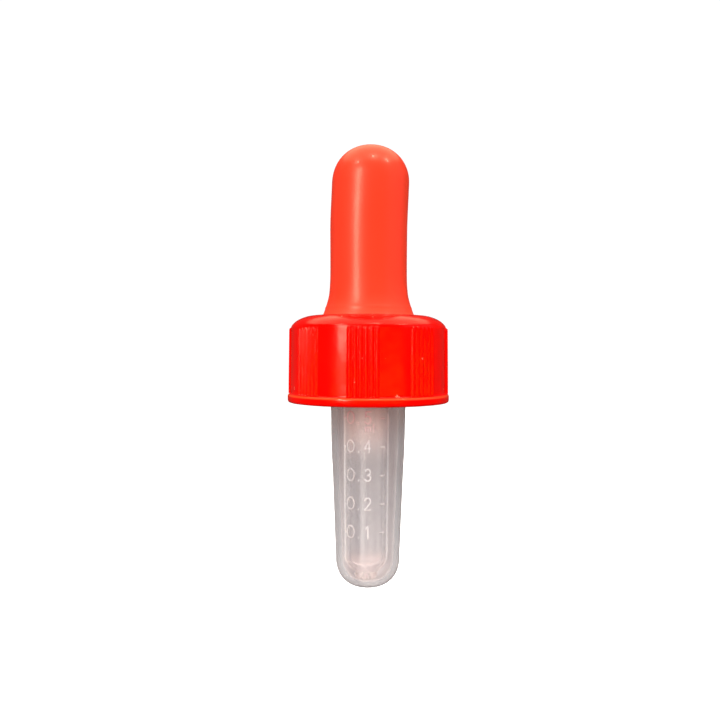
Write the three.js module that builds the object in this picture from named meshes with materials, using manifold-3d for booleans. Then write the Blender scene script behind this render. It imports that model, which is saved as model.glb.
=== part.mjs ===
// A medicine dropper, in millimetres, with +Z up: a rubber bulb and a graduated pipette
// held in a screw cap, and the push-on sheath that covers the pipette when it is stored.
// The origin is on the axis, on the pipette flange's underside, which seats on the neck
// of the bottle. Each piece is drawn from a reference height of its own and then placed.

import * as THREE from "three";
import { mergeVertices } from "three/addons/utils/BufferGeometryUtils.js";
import Module from "manifold-3d";

const library = await Module();
library.setup();

// Driving dimensions. Facets are counted once round the axis.
const FACETS = 48;
const CAP_FACETS = 72;
const GAP = 0.1; // between faces that press on each other in use

const CAP_HEIGHT = 13.75;
const CAP_DEPTH = 9.75; // from the seat down to the cap's rim
const ROOF_THICKNESS = 1.6;
const PANEL_RADIUS = 12.22; // at the shoulder
const RIB_RELIEF = 0.25;
const SKIRT_DRAFT = 0.1; // how far the skirt leans out from the shoulder to the bead
const BEAD_RADIUS = 12.75;
const BEAD_HEIGHT = 1.2;
const RIB_TOP = 11.8;
const RIB_GROUPS = 8;
const RIBS_IN_GROUP = 6;
const RIB_PITCH = THREE.MathUtils.degToRad(3.75);
const RIB_HALF_WIDTH = THREE.MathUtils.degToRad(1.2);
const FIRST_GROUP = THREE.MathUtils.degToRad(-3.4); // from the front, -Y, towards +X
const CAP_HOLE_RADIUS = 7.45;

const THREAD_ROOT_RADIUS = 11.15;
const THREAD_CREST_RADIUS = 10.3;
const THREAD_PITCH = 3.175;
const THREAD_TURNS = 1.4;
const THREAD_START = 1.7; // middle of the ridge above the rim, at its lower end
const THREAD_ROOT_WIDTH = 1.9;
const THREAD_CREST_WIDTH = 0.6;
const THREAD_RUN_OUT = 4; // steps over which the ridge fades at either end

const FLANGE_RADIUS = 9.8;
const FLANGE_THICKNESS = 1.0;
const BORE_RADIUS = 2.665; // 0.1 ml takes 4.45 mm of it
const NECK_RADIUS = 3.5;
const NECK_HEIGHT = 5.0;
const BARB_RADIUS = 3.95;
const BARB_HEIGHT = 3.7;
const COLLAR_RADIUS = 6.1;
const COLLAR_DEPTH = 0.5;
const PLUG_RADIUS = 4.85;
const PLUG_DEPTH = 5.0;
const TUBE_TOP_RADIUS = 3.6;
const TUBE_END_RADIUS = 3.33;
const TUBE_END = 34.7;
const TIP_DEPTH = 37.85;
const TIP_FLARE_RADIUS = 1.85;
const NOZZLE_RADIUS = 1.4;
const ORIFICE_RADIUS = 0.5;

const SCALE_STEP = 4.45;
const SCALE_MARKS = 5;
const SCALE_FIRST = 29.75; // depth of the 0.1 ml mark
const MARK_HEIGHT = 0.3;
const MARK_RELIEF = 0.15;
const MARK_ARCS = [
  [-90, -50],
  [32, 60],
]; // degrees from the front, either side of the numbers

const FOOT_RADIUS = 9.6;
const FOOT_THICKNESS = 1.2;
const BULB_RADIUS = 6.1;
const BULB_HEIGHT = 29.65;
const BULB_WALL = 1.2;
const CROWN_HEIGHT = 6.0;
const CROWN_EXPONENT = 2.1; // 2 is a round crown, more is squarer

const SHEATH_LENGTH = 38.5;
const SHEATH_MOUTH_RADIUS = 5.95;
const SHEATH_END_RADIUS = 5.06;
const SHEATH_WALL = 1.0;
const SHEATH_END_WALL = 0.85;
const SHEATH_DOME_HEIGHT = 4.9;
const SHEATH_DOME_EXPONENT = 2.4;

// Materials
const gloss = (color, roughness, opacity = 1) =>
  new THREE.MeshStandardMaterial({
    color,
    roughness,
    metalness: 0,
    opacity,
    transparent: opacity < 1,
  });
const redPlastic = gloss(0xf5200a, 0.22);
const coralRubber = gloss(0xf5452c, 0.5);
const clearPlastic = gloss(0xd9d2cf, 0.3, 0.6);

// Profiles are lists of (radius, height) that run up the outside and down the inside.
const at = (radius, height) => new THREE.Vector2(radius, height);

// A quarter, or any stretch, of an ellipse or superellipse, between two angles in degrees.
function round([radius, height], [across, up], from, to, steps = 3, exponent = 2) {
  const points = [];
  for (let i = 0; i <= steps; i++) {
    const angle = THREE.MathUtils.degToRad(from + ((to - from) * i) / steps);
    const reach = (value) => Math.sign(value) * Math.abs(value) ** (2 / exponent);
    const cosine = Math.abs(Math.cos(angle)) < 1e-9 ? 0 : Math.cos(angle);
    points.push(at(radius + across * reach(cosine), height + up * reach(Math.sin(angle))));
  }
  return points;
}

function smooth(points, steps) {
  return new THREE.SplineCurve(points).getPoints(steps);
}

function turned(profile, facets) {
  return new THREE.LatheGeometry(profile, facets).rotateX(Math.PI / 2);
}

// Booleans
function solidOf(geometry) {
  geometry.deleteAttribute("normal");
  geometry.deleteAttribute("uv");
  const merged = mergeVertices(geometry, 1e-4);
  const mesh = new library.Mesh({
    numProp: 3,
    vertProperties: new Float32Array(merged.attributes.position.array),
    triVerts: new Uint32Array(merged.index.array),
  });
  return new library.Manifold(mesh);
}

function geometryOf(solid) {
  const mesh = solid.getMesh();
  const geometry = new THREE.BufferGeometry();
  geometry.setAttribute("position", new THREE.BufferAttribute(mesh.vertProperties, 3));
  geometry.setIndex(new THREE.BufferAttribute(mesh.triVerts, 1));
  geometry.computeVertexNormals();
  return geometry;
}

// Screw cap. Heights are above its rim.
function capOutside() {
  return turned(
    [
      at(0, 0),
      ...round([BEAD_RADIUS - 0.35, 0.35], [0.35, 0.35], -90, 0),
      ...round([BEAD_RADIUS - 0.35, BEAD_HEIGHT - 0.3], [0.35, 0.3], 0, 90),
      at(PANEL_RADIUS + SKIRT_DRAFT, BEAD_HEIGHT),
      at(PANEL_RADIUS, RIB_TOP),
      ...smooth(
        [
          at(PANEL_RADIUS - 0.1, 12.0),
          at(11.5, 12.65),
          at(10.2, 13.28),
          at(8.9, 13.65),
        ],
        5,
      ),
      at(CAP_HOLE_RADIUS, CAP_HEIGHT),
      at(0, CAP_HEIGHT),
    ],
    CAP_FACETS,
  );
}

// The ribbed band: the panels' circle, raised to a rounded ridge at each rib.
function ribbedBand() {
  const outline = new THREE.Shape();
  const groupTurn = (2 * Math.PI) / RIB_GROUPS;
  const firstRib = (-RIB_PITCH * (RIBS_IN_GROUP - 1)) / 2;
  const panelTurn = groupTurn - RIB_PITCH * (RIBS_IN_GROUP - 1);
  const points = [];
  const add = (radius, angle) =>
    points.push(at(radius * Math.sin(angle), -radius * Math.cos(angle)));
  for (let group = 0; group < RIB_GROUPS; group++) {
    const start = FIRST_GROUP + group * groupTurn + firstRib;
    for (let rib = 0; rib < RIBS_IN_GROUP; rib++) {
      for (const side of [-1, -0.5, 0, 0.5, 1]) {
        const rise = RIB_RELIEF * Math.sqrt(1 - side * side);
        add(PANEL_RADIUS + rise, start + rib * RIB_PITCH + side * RIB_HALF_WIDTH);
      }
    }
    const panelStart = start + RIB_PITCH * (RIBS_IN_GROUP - 1);
    for (const share of [0.2, 0.4, 0.6, 0.8]) {
      add(PANEL_RADIUS, panelStart + share * panelTurn);
    }
  }
  outline.setFromPoints(points);
  const start = BEAD_HEIGHT - 0.1;
  const depth = RIB_TOP - start;
  const band = new THREE.ExtrudeGeometry(outline, { depth, bevelEnabled: false });
  const place = band.attributes.position;
  for (let i = 0; i < place.count; i++) {
    const wider = 1 + (SKIRT_DRAFT / PANEL_RADIUS) * (1 - place.getZ(i) / depth);
    place.setXY(i, place.getX(i) * wider, place.getY(i) * wider);
  }
  return band.translate(0, 0, start);
}

// What the skirt and the roof leave open: the neck's space and the hole for the bulb.
function capInside() {
  const roof = CAP_HEIGHT - ROOF_THICKNESS;
  return turned(
    [
      at(0, -1),
      at(THREAD_ROOT_RADIUS + 0.35, -1),
      at(THREAD_ROOT_RADIUS + 0.35, 0),
      at(THREAD_ROOT_RADIUS, 0.4),
      ...round([THREAD_ROOT_RADIUS - 0.8, roof - 0.8], [0.8, 0.8], 0, 90),
      at(CAP_HOLE_RADIUS, roof),
      at(CAP_HOLE_RADIUS, CAP_HEIGHT + 1),
      at(0, CAP_HEIGHT + 1),
    ],
    CAP_FACETS,
  );
}

// The thread's ridge: one four-sided section carried round and up, with flat ends.
function thread() {
  const steps = Math.round(THREAD_TURNS * FACETS);
  const buried = THREAD_ROOT_RADIUS + 0.4;
  const positions = [];
  const faces = [];
  for (let i = 0; i <= steps; i++) {
    const angle = (i * 2 * Math.PI) / FACETS;
    const middle = THREAD_START + (i * THREAD_PITCH) / FACETS;
    const fade = Math.min(1, (i + 1) / THREAD_RUN_OUT, (steps - i + 1) / THREAD_RUN_OUT);
    const crest = THREE.MathUtils.lerp(THREAD_ROOT_RADIUS + 0.1, THREAD_CREST_RADIUS, fade);
    const section = [
      [buried, -THREAD_ROOT_WIDTH / 2],
      [buried, THREAD_ROOT_WIDTH / 2],
      [crest, THREAD_CREST_WIDTH / 2],
      [crest, -THREAD_CREST_WIDTH / 2],
    ];
    for (const [radius, offset] of section) {
      positions.push(radius * Math.sin(angle), -radius * Math.cos(angle), middle + offset);
    }
    if (i === steps) continue;
    for (let side = 0; side < 4; side++) {
      const a = i * 4 + side;
      const b = i * 4 + ((side + 1) % 4);
      faces.push(a, a + 4, b, b, a + 4, b + 4);
    }
  }
  const last = steps * 4;
  faces.push(0, 1, 2, 0, 2, 3, last, last + 2, last + 1, last, last + 3, last + 2);
  const geometry = new THREE.BufferGeometry();
  geometry.setAttribute("position", new THREE.Float32BufferAttribute(positions, 3));
  geometry.setIndex(faces);
  return geometry;
}

function screwCap() {
  return geometryOf(
    solidOf(capOutside())
      .add(solidOf(ribbedBand()))
      .subtract(solidOf(capInside()))
      .add(solidOf(thread())),
  );
}

// Pipette. Heights are above the face that seats on the bottle's neck.
function tubeRadius(depth) {
  const share = (depth - PLUG_DEPTH) / (TUBE_END - PLUG_DEPTH);
  return THREE.MathUtils.lerp(TUBE_TOP_RADIUS, TUBE_END_RADIUS, share);
}

function pipetteBody() {
  const outside = [
    at(ORIFICE_RADIUS, -TIP_DEPTH),
    ...round([TIP_FLARE_RADIUS - 0.45, 0.45 - TIP_DEPTH], [0.45, 0.45], -90, 30, 4),
    at(NOZZLE_RADIUS, 1.25 - TIP_DEPTH),
    at(2.2, -36.15),
    ...round([TUBE_END_RADIUS - 0.9, -TUBE_END], [0.9, 0.9], -50, 0, 2),
    at(TUBE_TOP_RADIUS, -PLUG_DEPTH - 0.4),
    at(PLUG_RADIUS - 0.3, -PLUG_DEPTH),
    at(PLUG_RADIUS, 0.4 - PLUG_DEPTH),
    at(PLUG_RADIUS, -COLLAR_DEPTH),
    at(COLLAR_RADIUS, -COLLAR_DEPTH),
    at(COLLAR_RADIUS, 0),
    at(FLANGE_RADIUS, 0),
    at(FLANGE_RADIUS, FLANGE_THICKNESS),
    at(NECK_RADIUS, FLANGE_THICKNESS),
    at(NECK_RADIUS, BARB_HEIGHT - 0.3),
    at(BARB_RADIUS, BARB_HEIGHT),
    at(NECK_RADIUS - 0.3, NECK_HEIGHT),
  ];
  const inside = [
    at(BORE_RADIUS, NECK_HEIGHT),
    at(BORE_RADIUS, -15),
    at(BORE_RADIUS - 0.12, -TUBE_END),
    at(ORIFICE_RADIUS + 0.15, -36.5),
    at(ORIFICE_RADIUS, -TIP_DEPTH),
  ];
  return turned([...outside, ...inside], FACETS);
}

// A raised mark: a short arc that stands on the tube, with its root inside the wall.
function scaleMark(depth, [from, to]) {
  const radius = tubeRadius(depth);
  const outline = new THREE.Shape();
  const start = THREE.MathUtils.degToRad(from - 90);
  const end = THREE.MathUtils.degToRad(to - 90);
  outline.absarc(0, 0, radius + MARK_RELIEF, start, end, false);
  outline.absarc(0, 0, radius - 0.3, end, start, true);
  const mark = new THREE.ExtrudeGeometry(outline, {
    depth: MARK_HEIGHT,
    curveSegments: 3,
    bevelEnabled: false,
  });
  return mark.translate(0, 0, -depth - MARK_HEIGHT / 2);
}

function pipette() {
  let solid = solidOf(pipetteBody());
  for (let mark = 0; mark < SCALE_MARKS; mark++) {
    for (const arc of MARK_ARCS) {
      solid = solid.add(solidOf(scaleMark(SCALE_FIRST - mark * SCALE_STEP, arc)));
    }
  }
  return geometryOf(solid);
}

// Bulb. Heights are above its foot's underside. The foot is clamped under the cap's roof,
// the waist passes through the cap's hole, and a recess in the bore grips the barb.
function bulb() {
  const foot = FLANGE_THICKNESS + GAP;
  const straight = BULB_HEIGHT - CROWN_HEIGHT;
  const boreRadius = NECK_RADIUS + GAP;
  const recess = BARB_RADIUS + GAP;
  const waistRadius = CAP_HOLE_RADIUS - GAP;
  const chamber = BULB_RADIUS - BULB_WALL;
  const outside = [
    at(boreRadius, 0),
    at(FOOT_RADIUS, 0),
    at(FOOT_RADIUS, FOOT_THICKNESS),
    at(waistRadius, FOOT_THICKNESS),
    ...smooth(
      [
        at(waistRadius, 2.6),
        at(6.98, 3.5),
        at(6.5, 5.0),
        at(6.2, 6.5),
        at(6.06, 9.6),
        at(BULB_RADIUS, 18),
        at(BULB_RADIUS, straight),
      ],
      8,
    ),
    ...round([0, straight], [BULB_RADIUS, CROWN_HEIGHT], 0, 90, 7, CROWN_EXPONENT).slice(1),
  ];
  const inside = [
    ...round([0, straight], [chamber, CROWN_HEIGHT - BULB_WALL], 90, 0, 5, CROWN_EXPONENT),
    at(chamber, 6.2),
    at(boreRadius, NECK_HEIGHT - foot + 0.4),
    at(recess, BARB_HEIGHT - foot + 0.2),
    at(recess, BARB_HEIGHT - foot - 0.2),
    at(boreRadius, BARB_HEIGHT - foot - 0.6),
    at(boreRadius, 0),
  ];
  return turned([...outside, ...inside], FACETS);
}

// Sheath. Heights are below its mouth, so they are negative.
function sheath() {
  const domeTop = SHEATH_DOME_HEIGHT - SHEATH_LENGTH;
  const shape = SHEATH_DOME_EXPONENT;
  const inner = SHEATH_END_RADIUS - SHEATH_WALL;
  const innerHeight = SHEATH_DOME_HEIGHT - SHEATH_END_WALL;
  const outside = [
    ...round([0, domeTop], [SHEATH_END_RADIUS, SHEATH_DOME_HEIGHT], -90, 0, 8, shape),
    at(5.5, -22.5),
    at(5.87, -14),
    at(SHEATH_MOUTH_RADIUS, 0),
  ];
  const inside = [
    at(PLUG_RADIUS + GAP + 0.15, 0),
    at(PLUG_RADIUS + GAP / 2, -0.4),
    at(PLUG_RADIUS + GAP / 2, -PLUG_DEPTH - 0.4),
    at(4.85, -14),
    at(4.5, -22.5),
    ...round([0, domeTop], [inner, innerHeight], 0, -90, 6, shape),
  ];
  return turned([...outside, ...inside], FACETS);
}

// Assembly. The pipette turns in the cap and carries the bulb and the sheath.
function piece(name, geometry, material, height = 0) {
  const mesh = new THREE.Mesh(geometry, material);
  mesh.name = name;
  mesh.position.z = height;
  return mesh;
}

const pipetteGroup = new THREE.Group();
pipetteGroup.add(
  piece("pipette", pipette(), clearPlastic),
  piece("bulb", bulb(), coralRubber, FLANGE_THICKNESS + GAP),
  piece("sheath", sheath(), clearPlastic.clone(), -COLLAR_DEPTH - GAP),
);

const dropper = new THREE.Group();
dropper.add(piece("screw_cap", screwCap(), redPlastic, -CAP_DEPTH), pipetteGroup);

export default dropper;
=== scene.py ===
"""A medicine dropper over a white floor: red screw cap, coral bulb, clear pipette and sheath.

Every piece is turned round the dropper's axis, the Z axis, and takes its ends from the CAD frame.
The sizes below and all profiles are in millimetres. Meshes, lights and the camera are placed in
metres.
"""

import math

import bpy
import numpy as np
from mathutils import Matrix, Vector


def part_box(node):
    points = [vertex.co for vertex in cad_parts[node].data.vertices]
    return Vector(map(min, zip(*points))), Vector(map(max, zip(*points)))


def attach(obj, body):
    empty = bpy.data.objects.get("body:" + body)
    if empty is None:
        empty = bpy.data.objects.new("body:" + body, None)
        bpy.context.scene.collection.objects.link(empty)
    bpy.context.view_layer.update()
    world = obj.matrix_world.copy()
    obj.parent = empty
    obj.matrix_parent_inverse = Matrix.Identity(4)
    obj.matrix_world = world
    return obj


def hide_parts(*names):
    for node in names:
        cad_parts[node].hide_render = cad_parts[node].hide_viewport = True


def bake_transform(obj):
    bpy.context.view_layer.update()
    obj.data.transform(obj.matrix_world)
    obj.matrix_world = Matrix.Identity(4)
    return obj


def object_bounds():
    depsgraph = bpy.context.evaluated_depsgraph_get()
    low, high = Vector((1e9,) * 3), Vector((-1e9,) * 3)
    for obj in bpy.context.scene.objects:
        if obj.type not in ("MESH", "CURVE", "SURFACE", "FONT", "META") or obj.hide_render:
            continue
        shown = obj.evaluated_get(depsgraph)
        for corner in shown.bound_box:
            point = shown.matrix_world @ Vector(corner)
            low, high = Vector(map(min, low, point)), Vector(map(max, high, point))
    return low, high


MM = 0.001

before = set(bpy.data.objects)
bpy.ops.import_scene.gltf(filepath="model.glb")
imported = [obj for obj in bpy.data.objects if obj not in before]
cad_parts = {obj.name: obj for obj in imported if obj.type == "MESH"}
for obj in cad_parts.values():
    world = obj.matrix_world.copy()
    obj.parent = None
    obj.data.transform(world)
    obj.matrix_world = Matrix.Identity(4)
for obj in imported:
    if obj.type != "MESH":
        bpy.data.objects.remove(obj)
cad_low, cad_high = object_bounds()

# Camera: level with the flange, turned a little to the left and down, and rolled by a hair
CAMERA_DISTANCE = 127.0
CAMERA_HEIGHT = -0.75
CAMERA_YAW = math.radians(0.594)
CAMERA_PITCH = math.radians(-1.07)
CAMERA_ROLL = math.radians(0.18)
CAMERA_LENS = 40.0
FLOOR_DROP = 45.0

# Steps round the axis
CAP_SEGMENTS = 768
SMOOTH_SEGMENTS = 144

# Screw cap: eight groups of six ribs on a smooth skirt
RIB_GROUPS = 8
RIBS_IN_GROUP = 6
RIB_PITCH = math.radians(3.75)
FIRST_GROUP = math.radians(-3.4)
RIB_HALF_WIDTH = 0.3
RIB_RELIEF = 0.3
PANEL_RADIUS = 12.22
SKIRT_DRAFT = 0.1
CAP_ROOF = 1.6
CAP_HOLE_RADIUS = 7.45
CAP_BORE_RADIUS = 11.2
THREAD_PITCH = 3.175
THREAD_TURNS = 1.4
THREAD_START = 1.7
THREAD_RELIEF = 0.85
THREAD_CREST = 0.3
THREAD_FOOT = 0.95
THREAD_FADE = 0.08

# Bulb: its walls, how far its top leans to the right, and the ridge over the pipette's neck
BULB_RADIUS = 6.1
BULB_INSIDE_RADIUS = 4.9
BULB_BORE_RADIUS = 3.6
CROWN_HEIGHT = 6.0
CROWN_SHAPE = 2.1
BULB_LEAN = 0.3
NECK_END = 5.1
NECK_RIDGE = 0.05
NECK_RIDGE_WIDTH = 0.16

# Pipette: its tube, a radius between the tube's bore and its outside, how far the tube stands to
# the left of the cap's axis, and the raised scale on it
TUBE_TOP = -7.5
TUBE_TOP_RADIUS = 3.66
TUBE_END_RADIUS = 3.44
TUBE_OUTSIDE = 3.2
TUBE_OFFSET = 0.27
PLUG_RADIUS = 4.85
COLLAR_RADIUS = 6.1
SCALE_STEP = 4.45
SCALE_MARKS = 5
SCALE_FIRST = -29.75
SCALE_UNIT = SCALE_FIRST + 3.6 * SCALE_STEP
DIGIT_HEIGHT = 1.85
DIGIT_WIDTH = 0.9
STROKE_WIDTH = 0.18
SCALE_RELIEF = 0.16

# Sheath
SHEATH_END_RADIUS = 5.06
SHEATH_DOME_HEIGHT = 4.9
SHEATH_DOME_SHAPE = 2.4


# ---------------------------------------------------------------- profiles

def rounded(corners, steps=5):
    """A profile through (radius, height, rounding) corners, each rounded off by its own amount."""
    points = []
    for i, (x, z, size) in enumerate(corners):
        here = np.array([x, z])
        if size == 0 or i in (0, len(corners) - 1):
            points.append(here)
            continue
        before = np.array(corners[i - 1][:2]) - here
        after = np.array(corners[i + 1][:2]) - here
        reach = min(size, 0.49 * np.linalg.norm(before), 0.49 * np.linalg.norm(after))
        start = here + before / np.linalg.norm(before) * reach
        end = here + after / np.linalg.norm(after) * reach
        for t in np.linspace(0, 1, steps + 1):
            points.append((1 - t) ** 2 * start + 2 * t * (1 - t) * here + t * t * end)
    return [tuple(p) for p in points]


def dome(middle, radius, height, exponent, start, end, steps):
    """A stretch of a superellipse about (0, middle), between two angles in degrees."""
    points = []
    for angle in np.radians(np.linspace(start, end, steps + 1)):
        c, s = math.cos(angle), math.sin(angle)
        c = 0.0 if abs(c) < 1e-9 else c
        across = math.copysign(abs(c) ** (2 / exponent), c)
        up = math.copysign(abs(s) ** (2 / exponent), s)
        points.append((radius * across, middle + height * up))
    return points


def spline(points, steps):
    """A smooth curve through the points, with the given number of steps between each two."""
    padded = [points[0], *points, points[-1]]
    curve = []
    for i in range(len(points) - 1):
        p0, p1, p2, p3 = (np.array(p) for p in padded[i : i + 4])
        for t in np.arange(steps) / steps:
            curve.append(
                0.5 * (2 * p1 + (p2 - p0) * t + (2 * p0 - 5 * p1 + 4 * p2 - p3) * t**2
                       + (3 * p1 - p0 - 3 * p2 + p3) * t**3)
            )
    curve.append(np.array(points[-1]))
    return [tuple(p) for p in curve]


def subdivided(profile, longest):
    """The same profile with no edge longer than the given length."""
    points = [profile[0]]
    for a, b in zip(profile, profile[1:]):
        pieces = max(1, math.ceil(math.dist(a, b) / longest))
        for k in range(1, pieces + 1):
            points.append(tuple(np.array(a) + (np.array(b) - np.array(a)) * k / pieces))
    return points


# ---------------------------------------------------------------- meshes

def turned(name, profile, angles, relief=None, keep=None):
    """A closed body turned round Z. The profile, in mm, runs up the outside and down the inside.

    Angles run from the front, -Y, towards +X. relief(angle, radius, height) gives how far, in mm,
    each point stands out from the profile. A profile that starts and ends on the axis closes
    there, and any other closes on itself. keep names an attribute that holds the relief.
    """
    profile = np.array(profile, float)
    angles = np.asarray(angles, float)
    on_axis = profile[0][0] < 1e-9
    rows = profile[1:-1] if on_axis else profile
    count = len(rows)
    turns = len(angles)
    angle, radius = np.meshgrid(angles, rows[:, 0])
    height = np.repeat(rows[:, 1:2], turns, axis=1)
    if relief is not None:
        radius = radius + relief(angle, radius, height)
    points = np.stack([radius * np.sin(angle), -radius * np.cos(angle), height], axis=-1)
    vertices = points.reshape(-1, 3)
    bands = count - 1 if on_axis else count
    i, k = np.meshgrid(np.arange(bands), np.arange(turns), indexing="ij")
    below, above = i * turns, (i + 1) % count * turns
    right = (k + 1) % turns
    faces = np.stack([below + k, below + right, above + right, above + k], axis=-1)
    faces = faces.reshape(-1, 4).tolist()
    if on_axis:
        first = len(vertices)
        last = first + 1
        ends = [[0, 0, profile[0][1]], [0, 0, profile[-1][1]]]
        vertices = np.vstack([vertices, ends])
        top = (count - 1) * turns
        for k in range(turns):
            faces.append([first, (k + 1) % turns, k])
            faces.append([last, top + k, top + (k + 1) % turns])
    mesh = bpy.data.meshes.new(name)
    mesh.from_pydata((vertices * MM).tolist(), [], faces)
    mesh.update()
    mesh.shade_smooth()
    if keep:
        raised = (radius - rows[:, 0:1]).ravel()
        attribute = mesh.attributes.new(keep, "FLOAT", "POINT")
        attribute.data.foreach_set("value", raised.astype(np.float32))
    piece = bpy.data.objects.new(name, mesh)
    bpy.context.scene.collection.objects.link(piece)
    return piece


def smoothstep(low, high, value):
    """0 up to one value and 1 from another on, with a smooth rise between them."""
    t = np.clip((value - low) / (high - low), 0, 1)
    return t * t * (3 - 2 * t)


def even_turn(segments):
    """The angles of one even turn."""
    return np.arange(segments) * 2 * math.pi / segments


# ---------------------------------------------------------------- screw cap

def build_cap():
    low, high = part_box("screw_cap")
    rim = low.z / MM
    top = high.z / MM
    bead = high.x / MM
    roof = top - CAP_ROOF
    rib_top = rim + 11.7
    outside = rounded(
        [
            (11.5, rim, 0),
            (bead, rim, 0.45),
            (bead, rim + 1.2, 0.75),
            (PANEL_RADIUS + SKIRT_DRAFT, rim + 1.45, 0.12),
            (PANEL_RADIUS, rim + 11.75, 0),
        ]
    )
    shoulder = spline(
        [
            (PANEL_RADIUS - 0.03, rim + 11.85),
            (12.02, rim + 12.15),
            (11.5, rim + 12.65),
            (10.9, rim + 13.03),
            (10.2, rim + 13.32),
            (9.6, rim + 13.5),
            (8.9, rim + 13.62),
            (7.9, rim + 13.7),
        ],
        5,
    )
    inside = rounded(
        [
            (7.6, top - 0.05, 0),
            (CAP_HOLE_RADIUS, top - 0.2, 0.05),
            (CAP_HOLE_RADIUS, roof, 0.08),
            (CAP_BORE_RADIUS, roof, 0.9),
            (CAP_BORE_RADIUS, rim + 0.45, 0.1),
            (11.45, rim, 0),
        ]
    )
    profile = subdivided([*outside, *shoulder, *inside], 0.22)

    def relief(angle, radius, height):
        """Ribs on the skirt and a thread in the bore."""
        turn = (angle - FIRST_GROUP + math.pi / RIB_GROUPS) % (2 * math.pi / RIB_GROUPS)
        turn = turn - math.pi / RIB_GROUPS
        last_rib = (RIBS_IN_GROUP - 1) / 2
        index = np.clip(np.round(turn / RIB_PITCH - 0.5) + 0.5, -last_rib, last_rib)
        across = (turn - index * RIB_PITCH) * PANEL_RADIUS
        reach = np.maximum(0, height - rib_top + RIB_HALF_WIDTH)
        away = np.hypot(across, reach) / RIB_HALF_WIDTH
        rib = RIB_RELIEF * np.sqrt(np.clip(1 - away**2, 0, 1))
        on_skirt = (radius > PANEL_RADIUS - 0.1) & (radius < PANEL_RADIUS + 0.15)
        on_panel = on_skirt & (height > rim + 1.2)
        share = (angle % (2 * math.pi)) / (2 * math.pi)
        thread = np.zeros_like(height)
        for turn_number in range(math.ceil(THREAD_TURNS)):
            travelled = share + turn_number
            middle = rim + THREAD_START + travelled * THREAD_PITCH
            fade_in = smoothstep(0, THREAD_FADE, travelled)
            fade_out = smoothstep(0, THREAD_FADE, THREAD_TURNS - travelled)
            shape = 1 - smoothstep(THREAD_CREST, THREAD_FOOT, np.abs(height - middle))
            thread = np.maximum(thread, fade_in * fade_out * shape)
        in_bore = np.abs(radius - CAP_BORE_RADIUS) < 0.05
        return np.where(on_panel, rib, 0) - np.where(in_bore, THREAD_RELIEF * thread, 0)

    cap = turned("cap", profile, even_turn(CAP_SEGMENTS), relief)
    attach(cap, "cap")
    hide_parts("screw_cap")
    return cap


# ---------------------------------------------------------------- bulb

def build_bulb():
    low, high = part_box("bulb")
    foot = low.z / MM
    straight = high.z / MM - CROWN_HEIGHT
    foot_outside = rounded(
        [
            (BULB_BORE_RADIUS, foot, 0),
            (9.6, foot, 0.25),
            (9.6, foot + 1.2, 0.25),
            (7.35, foot + 1.2, 0.1),
            (7.35, foot + 2.55, 0),
        ]
    )
    body = spline(
        [
            (7.3, foot + 2.7),
            (6.98, foot + 3.5),
            (6.5, foot + 5.0),
            (6.2, foot + 6.5),
            (6.06, foot + 9.6),
            (BULB_RADIUS, foot + 18.0),
            (BULB_RADIUS, straight - 0.8),
        ],
        8,
    )
    wall = BULB_RADIUS - BULB_INSIDE_RADIUS
    crown_outside = dome(straight, BULB_RADIUS, CROWN_HEIGHT, CROWN_SHAPE, 0, 90, 24)
    crown_inside = dome(straight, BULB_INSIDE_RADIUS, CROWN_HEIGHT - wall, CROWN_SHAPE, 90, 0, 14)
    bore = rounded(
        [
            (BULB_INSIDE_RADIUS, foot + 6.2, 0.6),
            (BULB_BORE_RADIUS, foot + 4.3, 0.3),
            (4.05, foot + 2.8, 0.1),
            (4.05, foot + 2.4, 0.1),
            (BULB_BORE_RADIUS, foot + 2.0, 0.1),
            (BULB_BORE_RADIUS, foot + 0.2, 0),
        ]
    )
    inside = subdivided([*crown_inside, *bore], 0.8)
    outside = []
    for radius, height in subdivided([*foot_outside, *body], 0.5):
        ridge = NECK_RIDGE * math.exp(-(((height - NECK_END) / NECK_RIDGE_WIDTH) ** 2))
        outside.append((radius + ridge, height))
    bulb = turned("squeeze_bulb", [*inside, *outside, *crown_outside], even_turn(SMOOTH_SEGMENTS))
    for vertex in bulb.data.vertices:
        vertex.co.x += BULB_LEAN * MM * float(smoothstep(17, 27, vertex.co.z / MM))
    return bulb


# ---------------------------------------------------------------- pipette

def arc(x, y, across, up, start=0, end=360, steps=20):
    """Points on an ellipse's arc, in degrees from the right-hand side."""
    turn = np.radians(np.linspace(start, end, steps + 1))
    return [(x + across * math.cos(t), y + up * math.sin(t)) for t in turn]


# Each sign is one or more strokes, in widths and heights of a digit about its middle.
SIGNS = {
    "0": [arc(0, 0, 0.5, 0.5)],
    "1": [[(-0.3, 0.28), (0.05, 0.5), (0.05, -0.5)]],
    "2": [[*arc(0, 0.2, 0.45, 0.3, 165, -30, 12), (-0.47, -0.5), (0.5, -0.5)]],
    "3": [arc(-0.02, 0.25, 0.42, 0.25, 150, -90, 14), arc(-0.02, -0.25, 0.48, 0.25, 90, -150, 14)],
    "4": [[(0.2, -0.5), (0.2, 0.5), (-0.5, -0.18), (0.5, -0.18)]],
    "5": [[(0.42, 0.5), (-0.34, 0.5), (-0.4, 0.08), *arc(-0.03, -0.18, 0.48, 0.32, 130, -150, 14)]],
    ".": [[(0, -0.47), (0, -0.43)]],
    "-": [[(-0.5, 0), (0.5, 0)]],
    "m": [[(-0.5, -0.3), (-0.5, 0.3)], arc(-0.25, 0.05, 0.25, 0.25, 180, 0, 8) + [(0, -0.3)],
          arc(0.25, 0.05, 0.25, 0.25, 180, 0, 8) + [(0.5, -0.3)]],
    "l": [[(0, -0.5), (0, 0.5)]],
}


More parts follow.
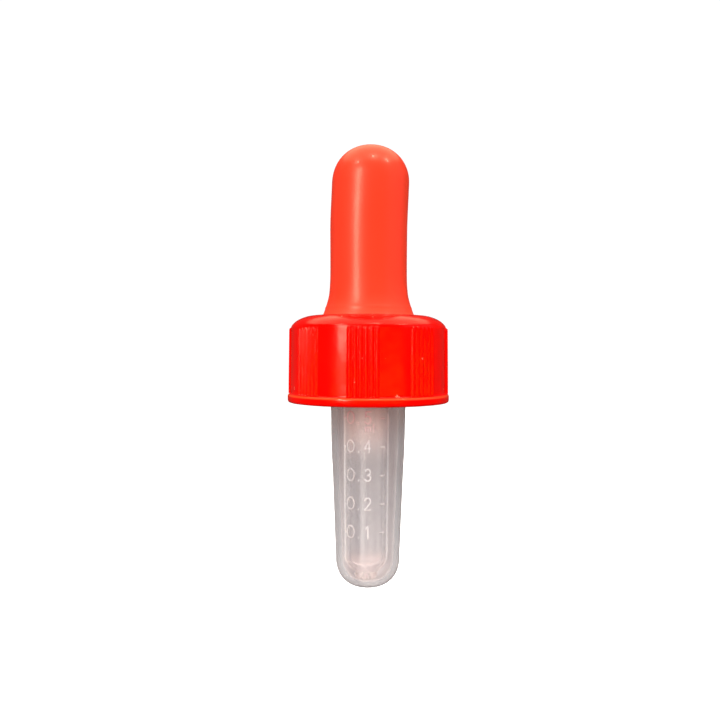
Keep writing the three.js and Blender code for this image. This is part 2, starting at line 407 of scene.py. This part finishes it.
def stroke_distance(x, y, strokes):
    """Distance from each point to the nearest of the strokes."""
    nearest = np.full(x.shape, 1e9)
    for stroke in strokes:
        for (ax, ay), (bx, by) in zip(stroke, stroke[1:]):
            length = (bx - ax) ** 2 + (by - ay) ** 2
            t = np.clip(((x - ax) * (bx - ax) + (y - ay) * (by - ay)) / length, 0, 1)
            nearest = np.minimum(nearest, np.hypot(x - ax - t * (bx - ax), y - ay - t * (by - ay)))
    return nearest


def scale_signs():
    """Every raised sign as (sign, degrees from the front, height, width, sign's height), in mm."""
    signs = []
    for step in range(SCALE_MARKS):
        height = SCALE_FIRST + step * SCALE_STEP
        signs.append(("-", -62, height - 0.1, 0.7, DIGIT_HEIGHT))
        signs.append(("0", -39, height, 1.25, DIGIT_HEIGHT))
        signs.append((".", -18, height, 1.0, DIGIT_HEIGHT))
        signs.append((str(step + 1), 4, height, DIGIT_WIDTH, DIGIT_HEIGHT))
        signs.append(("-", 42, height - 0.15, 0.7, DIGIT_HEIGHT))
    signs.append(("m", 4, SCALE_UNIT, 0.75, 1.1))
    signs.append(("l", 17, SCALE_UNIT + 0.1, 0.75, 1.3))
    return signs


def build_pipette():
    low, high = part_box("pipette")
    tip = low.z / MM
    neck = high.z / MM
    flange = high.x / MM
    tube_end = tip + 2.9
    slope = (TUBE_TOP_RADIUS - TUBE_END_RADIUS) / (TUBE_TOP - tube_end)
    outside = rounded(
        [
            (0.55, tip, 0),
            (1.85, tip, 0.4),
            (1.9, tip + 0.75, 0.35),
            (1.35, tip + 1.25, 0.25),
            (2.4, tip + 1.5, 0.3),
            (TUBE_END_RADIUS, tube_end, 1.1),
            (TUBE_TOP_RADIUS, TUBE_TOP, 0),
        ]
    )
    upper = rounded(
        [
            (TUBE_TOP_RADIUS, TUBE_TOP + 2, 0),
            (4.55, -5.0, 0.1),
            (PLUG_RADIUS, -4.6, 0.15),
            (PLUG_RADIUS, -0.5, 0.05),
            (COLLAR_RADIUS, -0.5, 0.08),
            (COLLAR_RADIUS, 0, 0.05),
            (flange, 0, 0.12),
            (flange, 1.0, 0.2),
            (3.5, 1.0, 0.15),
            (3.5, 3.4, 0.1),
            (3.95, 3.7, 0.15),
            (3.2, neck, 0.15),
            (2.67, neck, 0.1),
            (2.66, -15, 3.0),
            (2.54, tip + 3.1, 0.6),
            (0.7, tip + 1.4, 0.3),
            (0.5, tip + 0.1, 0),
        ]
    )
    coarse = subdivided([*outside, *upper], 1.0)

    # Close rows up the outside of the tube wherever a sign is raised
    marks = [(SCALE_FIRST + step * SCALE_STEP, 1.3) for step in range(SCALE_MARKS)]
    marks.append((SCALE_UNIT, 0.9))
    heights = []
    for middle, half in marks:
        heights += [middle + offset for offset in np.arange(-half, half, 0.07)]
    dense = [(TUBE_END_RADIUS + slope * (z - tube_end), z) for z in sorted(heights)]
    split = next(i for i, p in enumerate(coarse) if p[1] > dense[0][1] and p[0] > TUBE_OUTSIDE)
    rejoin = next(i for i, p in enumerate(coarse) if p[1] > dense[-1][1] and p[0] > TUBE_OUTSIDE)
    profile = [*coarse[:split], *dense, *coarse[rejoin:]]
    signs = scale_signs()

    def relief(angle, radius, height):
        """The signs, each raised along its strokes."""
        turn = (angle + math.pi) % (2 * math.pi) - math.pi
        raised = np.zeros_like(height)
        for sign, degrees, middle, width, tall in signs:
            x = (turn - math.radians(degrees)) * radius
            y = height - middle
            strokes = [[(a * width, b * tall) for a, b in stroke] for stroke in SIGNS[sign]]
            distance = stroke_distance(x, y, strokes)
            half = STROKE_WIDTH / 2
            raised = np.maximum(raised, 1 - smoothstep(half * 0.55, half * 1.35, distance))
        on_tube = (radius > TUBE_OUTSIDE) & (height < TUBE_TOP)
        return np.where(on_tube, SCALE_RELIEF * raised, 0)

    # Fine steps where the scale is, and coarse ones round the back
    front = np.radians(np.arange(-95, 67, 1.0))
    back = np.radians(np.arange(67, 265, 4.0))
    pipette = turned("graduated_pipette", profile, np.concatenate([front, back]), relief, "raised")
    for vertex in pipette.data.vertices:
        vertex.co.x -= TUBE_OFFSET * MM * float(smoothstep(5.5, 9.5, -vertex.co.z / MM))
    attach(pipette, "pipette")
    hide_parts("pipette")
    return pipette


# ---------------------------------------------------------------- sheath

def build_sheath():
    low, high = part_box("sheath")
    mouth = high.z / MM
    dome_top = low.z / MM + SHEATH_DOME_HEIGHT
    outside = dome(dome_top, SHEATH_END_RADIUS, SHEATH_DOME_HEIGHT, SHEATH_DOME_SHAPE, -90, 0, 26)
    wall = spline(
        [(5.08, dome_top + 0.6), (5.5, mouth - 22.5), (5.87, mouth - 14), (5.93, mouth - 2)], 10
    )
    lip = rounded(
        [
            (5.935, mouth - 1.5, 0),
            (5.95, mouth, 0.12),
            (5.1, mouth, 0.12),
            (4.9, mouth - 0.4, 0.2),
            (4.9, mouth - 5.4, 0.6),
            (4.87, mouth - 14, 2.0),
            (4.5, mouth - 22.5, 4.0),
            (4.1, dome_top + 0.5, 0),
        ]
    )
    inside = dome(dome_top, 4.08, 4.05, SHEATH_DOME_SHAPE, 0, -90, 18)
    profile = subdivided([*outside, *wall, *lip, *inside], 1.0)
    sheath = turned("clear_sheath", profile, even_turn(SMOOTH_SEGMENTS))
    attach(sheath, "sheath")
    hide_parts("sheath")
    return sheath


# ---------------------------------------------------------------- materials

def mix(tree, amount, first, second, kind="MIX"):
    """The first colour where amount is 0 and the second where it is 1, or another blend of both."""
    node = tree.nodes.new("ShaderNodeMix")
    node.data_type = "RGBA"
    node.blend_type = kind
    factor = node.inputs["Factor"]
    colours = [socket for socket in node.inputs if socket.type == "RGBA"]
    for socket, value in zip((factor, *colours), (amount, first, second)):
        if isinstance(value, float):
            socket.default_value = value
        elif isinstance(value, tuple):
            socket.default_value = (*value, 1)
        else:
            tree.links.new(value, socket)
    return next(socket for socket in node.outputs if socket.type == "RGBA")


class Nodes:
    """A small helper that adds and links shader nodes of one material."""

    def __init__(self, name):
        self.material = bpy.data.materials.new(name)
        self.material.use_nodes = True
        self.tree = self.material.node_tree
        self.shader = self.tree.nodes["Principled BSDF"]
        self.place = self.tree.nodes.new("ShaderNodeTexCoord").outputs["Object"]

    def noise(self, scale, detail=3.0, stretch=(1, 1, 1)):
        """Noise with features of about 1/scale metres, stretched along each axis."""
        mapping = self.tree.nodes.new("ShaderNodeMapping")
        mapping.inputs["Scale"].default_value = stretch
        self.tree.links.new(self.place, mapping.inputs["Vector"])
        noise = self.tree.nodes.new("ShaderNodeTexNoise")
        noise.inputs["Scale"].default_value = scale
        noise.inputs["Detail"].default_value = detail
        self.tree.links.new(mapping.outputs["Vector"], noise.inputs["Vector"])
        return noise.outputs["Fac"]

    def height(self, low, high):
        """0 at one height and 1 at another, in millimetres."""
        split = self.tree.nodes.new("ShaderNodeSeparateXYZ")
        self.tree.links.new(self.place, split.inputs["Vector"])
        return self.span(split.outputs["Z"], 0, 1, low * MM, high * MM)

    def radius(self):
        """How far from the dropper's axis, in metres."""
        level = self.tree.nodes.new("ShaderNodeVectorMath")
        level.operation = "MULTIPLY"
        level.inputs[1].default_value = (1, 1, 0)
        self.tree.links.new(self.place, level.inputs[0])
        length = self.tree.nodes.new("ShaderNodeVectorMath")
        length.operation = "LENGTH"
        self.tree.links.new(level.outputs["Vector"], length.inputs[0])
        return length.outputs["Value"]

    def edge(self):
        """0 where the surface faces the eye and 1 where it turns away, as clear plastic shows."""
        node = self.tree.nodes.new("ShaderNodeLayerWeight")
        node.inputs["Blend"].default_value = 0.5
        return node.outputs["Facing"]

    def attribute(self, name):
        node = self.tree.nodes.new("ShaderNodeAttribute")
        node.attribute_name = name
        return node.outputs["Fac"]

    def ramp(self, value, stops):
        """A colour ramp through (position, colour) stops."""
        ramp = self.tree.nodes.new("ShaderNodeValToRGB")
        elements = ramp.color_ramp.elements
        while len(elements) < len(stops):
            elements.new(0.5)
        for element, (position, colour) in zip(elements, stops):
            element.position = position
            element.color = (*colour, 1)
        self.tree.links.new(value, ramp.inputs["Fac"])
        return ramp.outputs["Color"]

    def span(self, value, low, high, from_low=0.3, from_high=0.7):
        """The value, mapped from one span to another. Noise mostly lies between 0.3 and 0.7."""
        node = self.tree.nodes.new("ShaderNodeMapRange")
        node.inputs["From Min"].default_value = from_low
        node.inputs["From Max"].default_value = from_high
        node.inputs["To Min"].default_value = low
        node.inputs["To Max"].default_value = high
        self.tree.links.new(value, node.inputs["Value"])
        return node.outputs["Result"]

    def blend(self, amount, first, second):
        return mix(self.tree, amount, first, second)

    def combine(self, operation, first, second):
        """An arithmetic operation on two values."""
        node = self.tree.nodes.new("ShaderNodeMath")
        node.operation = operation
        for socket, value in zip(node.inputs, (first, second)):
            if isinstance(value, (int, float)):
                socket.default_value = value
            else:
                self.tree.links.new(value, socket)
        return node.outputs["Value"]

    def drive(self, value, socket):
        """Links a value to one of the shader's sockets."""
        self.tree.links.new(value, self.shader.inputs[socket])

    def bump(self, value, distance):
        node = self.tree.nodes.new("ShaderNodeBump")
        node.inputs["Distance"].default_value = distance
        node.inputs["Strength"].default_value = 1.0
        self.tree.links.new(value, node.inputs["Height"])
        self.tree.links.new(node.outputs["Normal"], self.shader.inputs["Normal"])

    def set(self, **values):
        """Sets the shader's own sockets, with _ for each space in their names."""
        for socket, value in values.items():
            self.shader.inputs[socket.replace("_", " ")].default_value = value


def red_plastic(rim):
    """Glossy red, with a painted highlight along the bead's upper edge and a few painted glints."""
    nodes = Nodes("red_plastic")
    colour = nodes.ramp(
        nodes.noise(90), [(0.3, (0.94, 0.0004, 0.0001)), (0.7, (0.97, 0.0016, 0.0001))]
    )
    # Painted highlight: a paler line along the sharp upper edge of the bead at the rim
    edge = nodes.combine(
        "MULTIPLY", nodes.height(rim + 0.95, rim + 1.1), nodes.height(rim + 1.4, rim + 1.25)
    )
    colour = nodes.blend(edge, colour, (1.0, 0.06, 0.012))
    # Painted glints: a few pale specks, as where tiny bumps catch the light
    painted_glint = nodes.span(nodes.noise(900, 2), 0, 1, 0.75, 0.79)
    nodes.drive(nodes.blend(painted_glint, colour, (1.0, 0.25, 0.16)), "Base Color")
    nodes.drive(nodes.span(nodes.noise(260, 4), 0.15, 0.21), "Roughness")
    nodes.bump(nodes.noise(220, 2), 0.00012)
    nodes.set(IOR=1.49, Specular_IOR_Level=0.32)
    return nodes.material


def coral_rubber():
    """Coral rubber with a dull sheen and a painted lighter shade on its foot, over the pipette's neck.
    """
    nodes = Nodes("coral_rubber")
    colour = nodes.ramp(
        nodes.noise(70), [(0.3, (0.95, 0.045, 0.015)), (0.7, (0.97, 0.051, 0.019))]
    )
    # Painted light: the foot, where the rubber flares over the pipette's neck, is paler
    colour = nodes.blend(nodes.height(6.5, 2.5), colour, (0.97, 0.08, 0.036))
    nodes.drive(colour, "Base Color")
    nodes.drive(nodes.span(nodes.noise(500, 4), 0.35, 0.4), "Roughness")
    nodes.bump(nodes.noise(120, 2), 0.00003)
    nodes.set(IOR=1.5, Coat_Weight=0.15, Coat_Roughness=0.14)
    return nodes.material


def clear_plastic(name, flow_scale, tint, streak_tint, clarity, roughness):
    """A clear moulded plastic that is a little milky, with faint upright flow lines.

    Clarity is how much light passes a wall as it turns away from the eye, as (facing, share) stops.
    """
    nodes = Nodes(name)
    flow = nodes.noise(flow_scale, 1, (1, 1, 0.02))
    colour = nodes.ramp(flow, [(0.35, tint), (0.62, streak_tint)])
    clear = nodes.ramp(nodes.edge(), [(facing, (share, share, share)) for facing, share in clarity])
    clear = nodes.combine("MULTIPLY", clear, nodes.span(flow, 0.935, 1.02))
    gloss = nodes.span(nodes.noise(500, 3, (1, 1, 0.1)), roughness * 0.7, roughness * 1.3)
    nodes.drive(gloss, "Roughness")
    nodes.bump(nodes.noise(350, 2, (1, 1, 0.04)), 0.00002)
    nodes.set(IOR=1.49)
    return nodes, colour, clear


def sheath_plastic():
    """Almost clear, and a little milky only where the wall turns away."""
    nodes, colour, clear = clear_plastic(
        "sheath_plastic",
        flow_scale=500,
        tint=(0.95, 0.9, 0.89),
        streak_tint=(0.8, 0.745, 0.745),
        clarity=[(0.45, 0.965), (0.62, 0.93), (0.8, 0.55)],
        roughness=0.06,
    )
    nodes.drive(colour, "Base Color")
    nodes.drive(clear, "Transmission Weight")
    return nodes.material


def pipette_plastic(tip):
    """Milkier than the sheath, with whitish strokes, and painted pink light from the red cap on it."""
    nodes, colour, clear = clear_plastic(
        "pipette_plastic",
        flow_scale=650,
        tint=(0.94, 0.94, 0.945),
        streak_tint=(0.75, 0.75, 0.76),
        clarity=[
            (0, 1), (0.08, 0.98), (0.16, 0.87), (0.22, 0.87), (0.3, 0.96), (0.58, 0.94), (0.72, 0.3),
        ],
        roughness=0.08,
    )
    raised = nodes.span(nodes.attribute("raised"), 0, 1, 0.02, 0.12)
    # Painted light: pink near the cap, as if lit by the red cap, and a faint rosy tint at the end
    colour = nodes.blend(nodes.height(-8, -19), (0.97, 0.68, 0.59), colour)
    colour = nodes.blend(nodes.height(tip + 5, tip + 3), colour, (0.94, 0.87, 0.86))
    # The strokes are whitish, and painted pink near the cap, as light from the red cap
    stroke_colour = nodes.blend(nodes.height(-11, -16), (1.0, 0.4, 0.42), (1.0, 0.97, 0.96))
    colour = nodes.blend(raised, colour, stroke_colour)

    # Above the nozzle the bore passes almost all light, so the wall is milky on its outside only
    bore = nodes.span(nodes.radius(), 0.95, 0, 2.8 * MM, 3.1 * MM)
    bore = nodes.combine("MULTIPLY", bore, nodes.height(tip + 3.0, tip + 3.4))
    clear = nodes.combine("MAXIMUM", clear, bore)

    # Less light passes near the cap and through the strokes, and more through the nozzle
    near_cap = nodes.span(nodes.height(-9, -19), 0.58, 1, 0, 1)
    clear = nodes.combine("MULTIPLY", clear, near_cap)
    clear = nodes.combine("MULTIPLY", clear, nodes.span(raised, 1, 0.66, 0, 1))
    nozzle = nodes.span(nodes.height(tip + 2.6, tip + 1.6), 0, 0.8, 0, 1)
    clear = nodes.combine("MAXIMUM", clear, nozzle)
    nodes.drive(colour, "Base Color")
    nodes.drive(clear, "Transmission Weight")
    return nodes.material


# ---------------------------------------------------------------- surroundings

def build_camera():
    data = bpy.data.cameras.new("camera")
    data.lens = CAMERA_LENS
    data.sensor_width = 36.0
    camera = bpy.data.objects.new("camera", data)
    camera.matrix_world = (
        Matrix.Translation((0, -CAMERA_DISTANCE * MM, CAMERA_HEIGHT * MM))
        @ Matrix.Rotation(CAMERA_YAW, 4, "Z")
        @ Matrix.Rotation(math.radians(90) + CAMERA_PITCH, 4, "X")
        @ Matrix.Rotation(CAMERA_ROLL, 4, "Z")
    )
    bpy.context.scene.collection.objects.link(camera)
    bpy.context.scene.camera = camera


def light(name, azimuth, elevation, distance, size, power, colour=(1, 1, 1)):
    """An area light aimed at the dropper. Azimuth is in degrees from the front, towards +X."""
    data = bpy.data.lights.new(name, "AREA")
    data.shape = "RECTANGLE"
    data.size, data.size_y = size
    data.energy = power
    data.color = colour
    lamp = bpy.data.objects.new(name, data)
    a, e = math.radians(azimuth), math.radians(elevation)
    away = Vector((math.sin(a) * math.cos(e), -math.cos(a) * math.cos(e), math.sin(e)))
    lamp.location = away * distance
    lamp.rotation_mode = "QUATERNION"
    lamp.rotation_quaternion = (-away).to_track_quat("-Z", "Y")
    lamp.visible_camera = False
    bpy.context.scene.collection.objects.link(lamp)
    return lamp


def build_lights():
    """A window, three ceiling lamps and a pale wall that only show as reflections, and soft fills.

    The fills give the diffuse light. With importance sampling they would show in rough reflections.
    """
    warm = (1, 0.85, 0.62)
    shown = [
        light("window", -36, 18, 0.5, (0.11, 0.31), 1.45, warm),
        light("ceiling_left", -54, 50, 0.6, (0.05, 0.05), 0.45, warm),
        light("ceiling_middle", 20, 73, 0.6, (0.05, 0.05), 0.45, warm),
        light("ceiling_right", 72, 54, 0.6, (0.05, 0.05), 0.45, warm),
        light("pale_wall", 82, 22, 0.6, (0.7, 0.36), 0.24, (0.9, 0.9, 1)),
    ]
    for lamp in shown:
        lamp.visible_diffuse = False
        lamp.visible_transmission = False
    for azimuth, power in ((-5, 10.5), (-95, 5.0), (85, 5.0), (180, 8.0)):
        fill = light(f"fill_{azimuth}", azimuth, 22, 0.8, (0.9, 0.9), power)
        fill.visible_glossy = False
        fill.visible_transmission = False
        fill.data.cycles.use_multiple_importance_sampling = False


def towards(tree, direction, way):
    """How far a direction points one way, from -1 to 1."""
    node = tree.nodes.new("ShaderNodeVectorMath")
    node.operation = "DOT_PRODUCT"
    node.inputs[1].default_value = way
    tree.links.new(direction, node.inputs[0])
    return node.outputs["Value"]


def sky(tree, value, stops):
    """A background whose colour follows a value from -1 to 1 through (position, colour) stops."""
    place = tree.nodes.new("ShaderNodeMapRange")
    place.inputs["From Min"].default_value = -1
    tree.links.new(value, place.inputs["Value"])
    ramp = tree.nodes.new("ShaderNodeValToRGB")
    elements = ramp.color_ramp.elements
    while len(elements) < len(stops):
        elements.new(0.5)
    for element, (position, colour) in zip(elements, stops):
        element.position = (position + 1) / 2
        element.color = (*colour, 1)
    tree.links.new(place.outputs["Result"], ramp.inputs["Fac"])
    return ramp.outputs["Color"]


def build_world():
    """White to the eye, a dim room with a bright ceiling in reflections, a haze through clear parts."""
    world = bpy.data.worlds.new("studio")
    world.use_nodes = True
    world.cycles.sampling_method = "NONE"
    bpy.context.scene.world = world
    tree = world.node_tree
    tree.nodes.clear()
    direction = tree.nodes.new("ShaderNodeTexCoord").outputs["Generated"]

    black = (0, 0, 0)
    white = (1, 1, 1)
    dark = (0.03, 0.02, 0.005)
    bright = (1.9, 1.5, 0.95)
    wall = (0.06, 0.05, 0.05)
    lime = (1.5, 1.6, 0.03)

    # The room in reflections. The glow is a low band in front, which turns the cap's foot orange.
    ceiling = sky(
        tree,
        towards(tree, direction, (0, 0.2, 0.98)),
        [(-1.0, dark), (0.68, dark), (0.74, bright), (1.0, bright)],
    )
    back = sky(
        tree,
        towards(tree, direction, (0, 1, 0)),
        [(-1.0, black), (0.1, black), (0.4, wall), (1.0, wall)],
    )
    glow = sky(
        tree,
        towards(tree, direction, (0, 0, 1)),
        [(-1.0, black), (-0.072, black), (-0.06, lime), (-0.03, lime), (-0.005, black), (1.0, black)],
    )
    front = sky(
        tree,
        towards(tree, direction, (0, -1, 0)),
        [(-1.0, black), (0.55, black), (0.72, white), (1.0, white)],
    )
    glow = mix(tree, 1.0, glow, front, "MULTIPLY")
    room = mix(tree, 1.0, mix(tree, 1.0, ceiling, back, "ADD"), glow, "ADD")

    # The haze is pale below and darker and rosier towards the cap's height
    haze = sky(
        tree,
        towards(tree, direction, (0, 0, 1)),
        [
            (-1.0, (0.7, 0.68, 0.68)),
            (-0.3, (0.67, 0.66, 0.66)),
            (-0.25, (0.58, 0.58, 0.585)),
            (-0.19, (0.42, 0.415, 0.42)),
            (-0.13, (0.34, 0.3, 0.295)),
            (-0.06, (0.34, 0.24, 0.21)),
            (0.3, (0.25, 0.18, 0.16)),
            (1.0, (0.8, 0.75, 0.7)),
        ],
    )

    path = tree.nodes.new("ShaderNodeLightPath")
    colour = mix(tree, path.outputs["Is Glossy Ray"], (0.11, 0.08, 0.08), room)
    colour = mix(tree, path.outputs["Is Transmission Ray"], colour, haze)
    colour = mix(tree, path.outputs["Is Camera Ray"], colour, (1.05, 1.05, 1.05))
    background = tree.nodes.new("ShaderNodeBackground")
    output = tree.nodes.new("ShaderNodeOutputWorld")
    tree.links.new(colour, background.inputs["Color"])
    tree.links.new(background.outputs["Background"], output.inputs["Surface"])


def build_floor(height, reach=4.0):
    """A white floor that only the camera sees, so that it adds no light to the dropper."""
    mesh = bpy.data.meshes.new("floor")
    corners = [
        (-reach, -reach, height),
        (reach, -reach, height),
        (reach, reach, height),
        (-reach, reach, height),
    ]
    mesh.from_pydata(corners, [], [(0, 1, 2, 3)])
    floor = bpy.data.objects.new("floor", mesh)
    bpy.context.scene.collection.objects.link(floor)
    material = bpy.data.materials.new("pale_floor")
    material.use_nodes = True
    shader = material.node_tree.nodes["Principled BSDF"]
    shader.inputs["Base Color"].default_value = (0.9, 0.89, 0.88, 1)
    shader.inputs["Roughness"].default_value = 0.8
    shader.inputs["Emission Color"].default_value = (1, 1, 1, 1)
    shader.inputs["Emission Strength"].default_value = 0.9
    mesh.materials.append(material)
    floor.visible_transmission = False
    floor.visible_diffuse = False
    floor.visible_glossy = False


# ---------------------------------------------------------------- the scene

def finish_bulb(bulb):
    """Bakes the bulb's placement into its mesh and hides the CAD bulb.
    """
    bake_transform(bulb)
    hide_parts("bulb")


build_camera()
build_lights()
build_world()
bpy.context.scene.view_settings.view_transform = "Standard"
build_floor(cad_low.z - FLOOR_DROP * MM)

cap = build_cap()
cap.data.materials.append(red_plastic(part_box("screw_cap")[0].z / MM))
bulb = build_bulb()
bulb.data.materials.append(coral_rubber())
finish_bulb(bulb)
pipette = build_pipette()
pipette.data.materials.append(pipette_plastic(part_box("pipette")[0].z / MM))
sheath = build_sheath()
sheath.data.materials.append(sheath_plastic())
for clear_piece in (pipette, sheath):
    clear_piece.visible_shadow = False
